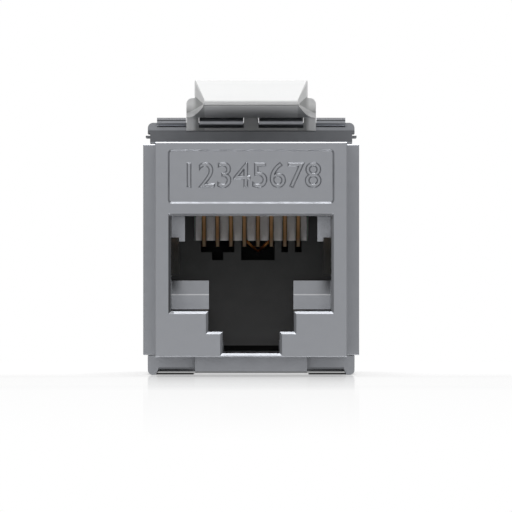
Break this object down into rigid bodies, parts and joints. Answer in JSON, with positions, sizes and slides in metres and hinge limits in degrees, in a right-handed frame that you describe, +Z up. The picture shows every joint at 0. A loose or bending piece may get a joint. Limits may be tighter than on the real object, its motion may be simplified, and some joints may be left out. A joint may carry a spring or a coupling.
{
  "type": "keystone jack",
  "caption": "Shielded keystone jack for a modular plug: zinc body with a snap latch, fixed hook, sprung contacts and two hinged rear doors that close round the cable.",
  "frame": {"origin": "middle of the front face, where the plug enters", "axes": "+X to the right seen from the front, +Y back along the plug and the cable, +Z up to the latch"},
  "size_m": [0.0162, 0.037, 0.0221],
  "materials": {
    "zinc_shell": "satin",
    "zinc_door": "satin",
    "white_latch": "satin",
    "black_insert": "matte",
    "grey_comb": "matte",
    "gilt_contact": "satin",
    "board": "satin",
    "block_plastic": "satin",
    "manager_plastic": "satin",
    "blade_metal": "satin",
    "spring_sheet": "satin",
    "pin_steel": "satin"
  },
  "bodies": {
    "housing": {"front_housing": "zinc_shell", "latch_clip": "white_latch", "jack_insert": "black_insert", "contact_comb": "grey_comb", "circuit_board": "board", "idc_block": "block_plastic", "wire_manager": "manager_plastic", "idc_blade_1": "blade_metal", "idc_blade_2": "blade_metal", "idc_blade_3": "blade_metal", "idc_blade_4": "blade_metal", "idc_blade_5": "blade_metal", "idc_blade_6": "blade_metal", "idc_blade_7": "blade_metal", "idc_blade_8": "blade_metal", "left_upper_pin": "pin_steel", "left_lower_pin": "pin_steel", "right_upper_pin": "pin_steel", "right_lower_pin": "pin_steel"},
    "latch": {"latch": "white_latch"},
    "left_door": {"left_door": "zinc_door"},
    "right_door": {"right_door": "zinc_door"},
    "left_ground_spring": {"left_ground_spring": "spring_sheet"},
    "right_ground_spring": {"right_ground_spring": "spring_sheet"},
    "contact_1": {"contact_1": "gilt_contact"},
    "contact_2": {"contact_2": "gilt_contact"},
    "contact_3": {"contact_3": "gilt_contact"},
    "contact_4": {"contact_4": "gilt_contact"},
    "contact_5": {"contact_5": "gilt_contact"},
    "contact_6": {"contact_6": "gilt_contact"},
    "contact_7": {"contact_7": "gilt_contact"},
    "contact_8": {"contact_8": "gilt_contact"}
  },
  "joints": [
    {"name": "latch_press", "type": "hinge", "parent": "housing", "child": "latch", "pos_m": [0, 0.00175, 0.01097], "axis": [-1, 0, 0], "range_deg": [0, 11.5], "stiffness_Nm_per_rad": 0.05},
    {"name": "left_door_swing", "type": "hinge", "parent": "housing", "child": "left_door", "pos_m": [-0.00709, 0.01437, 0], "axis": [0, 0, 1], "range_deg": [0, 90]},
    {"name": "right_door_swing", "type": "hinge", "parent": "housing", "child": "right_door", "pos_m": [0.00709, 0.01437, 0], "axis": [0, 0, -1], "range_deg": [0, 90]},
    {"name": "left_ground_spring_press", "type": "hinge", "parent": "housing", "child": "left_ground_spring", "pos_m": [-0.00628, 0.0028, -0.0005], "axis": [0, 0, 1], "range_deg": [0, 3.5], "stiffness_Nm_per_rad": 0.005},
    {"name": "right_ground_spring_press", "type": "hinge", "parent": "housing", "child": "right_ground_spring", "pos_m": [0.00628, 0.0028, -0.0005], "axis": [0, 0, -1], "range_deg": [0, 3.5], "stiffness_Nm_per_rad": 0.005},
    {"name": "contact_1_lift", "type": "hinge", "parent": "housing", "child": "contact_1", "pos_m": [-0.00356, 0.0161, 0.005], "axis": [-1, 0, 0], "range_deg": [0, 5.5], "stiffness_Nm_per_rad": 0.05},
    {"name": "contact_2_lift", "type": "hinge", "parent": "housing", "child": "contact_2", "pos_m": [-0.00254, 0.0161, 0.005], "axis": [-1, 0, 0], "range_deg": [0, 5.5], "stiffness_Nm_per_rad": 0.05},
    {"name": "contact_3_lift", "type": "hinge", "parent": "housing", "child": "contact_3", "pos_m": [-0.00152, 0.0161, 0.005], "axis": [-1, 0, 0], "range_deg": [0, 5.5], "stiffness_Nm_per_rad": 0.05},
    {"name": "contact_4_lift", "type": "hinge", "parent": "housing", "child": "contact_4", "pos_m": [-0.00051, 0.0161, 0.005], "axis": [-1, 0, 0], "range_deg": [0, 5.5], "stiffness_Nm_per_rad": 0.05},
    {"name": "contact_5_lift", "type": "hinge", "parent": "housing", "child": "contact_5", "pos_m": [0.00051, 0.0161, 0.005], "axis": [-1, 0, 0], "range_deg": [0, 5.5], "stiffness_Nm_per_rad": 0.05},
    {"name": "contact_6_lift", "type": "hinge", "parent": "housing", "child": "contact_6", "pos_m": [0.00152, 0.0161, 0.005], "axis": [-1, 0, 0], "range_deg": [0, 5.5], "stiffness_Nm_per_rad": 0.05},
    {"name": "contact_7_lift", "type": "hinge", "parent": "housing", "child": "contact_7", "pos_m": [0.00254, 0.0161, 0.005], "axis": [-1, 0, 0], "range_deg": [0, 5.5], "stiffness_Nm_per_rad": 0.05},
    {"name": "contact_8_lift", "type": "hinge", "parent": "housing", "child": "contact_8", "pos_m": [0.00356, 0.0161, 0.005], "axis": [-1, 0, 0], "range_deg": [0, 5.5], "stiffness_Nm_per_rad": 0.05}
  ],
  "couplings": [
    {"joint": "right_ground_spring_press", "follows": "left_ground_spring_press", "ratio": 1},
    {"joint": "contact_2_lift", "follows": "contact_1_lift", "ratio": 1},
    {"joint": "contact_3_lift", "follows": "contact_1_lift", "ratio": 1},
    {"joint": "contact_4_lift", "follows": "contact_1_lift", "ratio": 1},
    {"joint": "contact_5_lift", "follows": "contact_1_lift", "ratio": 1},
    {"joint": "contact_6_lift", "follows": "contact_1_lift", "ratio": 1},
    {"joint": "contact_7_lift", "follows": "contact_1_lift", "ratio": 1},
    {"joint": "contact_8_lift", "follows": "contact_1_lift", "ratio": 1}
  ]
}
